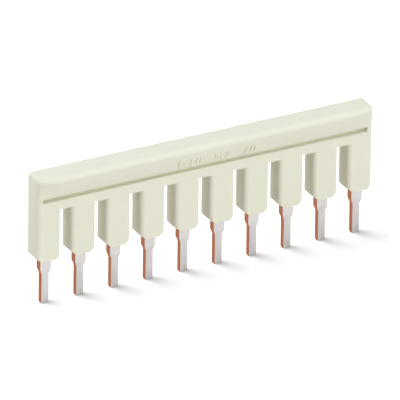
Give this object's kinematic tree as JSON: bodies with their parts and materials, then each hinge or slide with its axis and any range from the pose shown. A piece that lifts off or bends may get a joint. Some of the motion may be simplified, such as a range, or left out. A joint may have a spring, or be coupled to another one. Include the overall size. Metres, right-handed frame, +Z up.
{
  "type": "terminal block jumper bar",
  "caption": "Push-in jumper bar for rail terminal blocks: moulded comb-shaped housing with a grip bead and groove, over a stamped tin-plated copper contact comb.",
  "frame": {"origin": "middle of the row of contact tips, in the plane of the tips and in the mid-plane of the contact strip", "axes": "+X along the bar, +Y through it towards its plain back, so the grip bead and groove face -Y, +Z up from the contact tips to the flat top"},
  "size_m": [0.0504, 0.004, 0.0193],
  "materials": {
    "housing": "fine satin moulding, warm light grey",
    "contact": "tin-plated copper strip with bare copper on the sheared sides"
  },
  "bodies": {
    "root": {"insulating_housing": "housing", "contact_comb": "contact"}
  },
  "joints": []
}
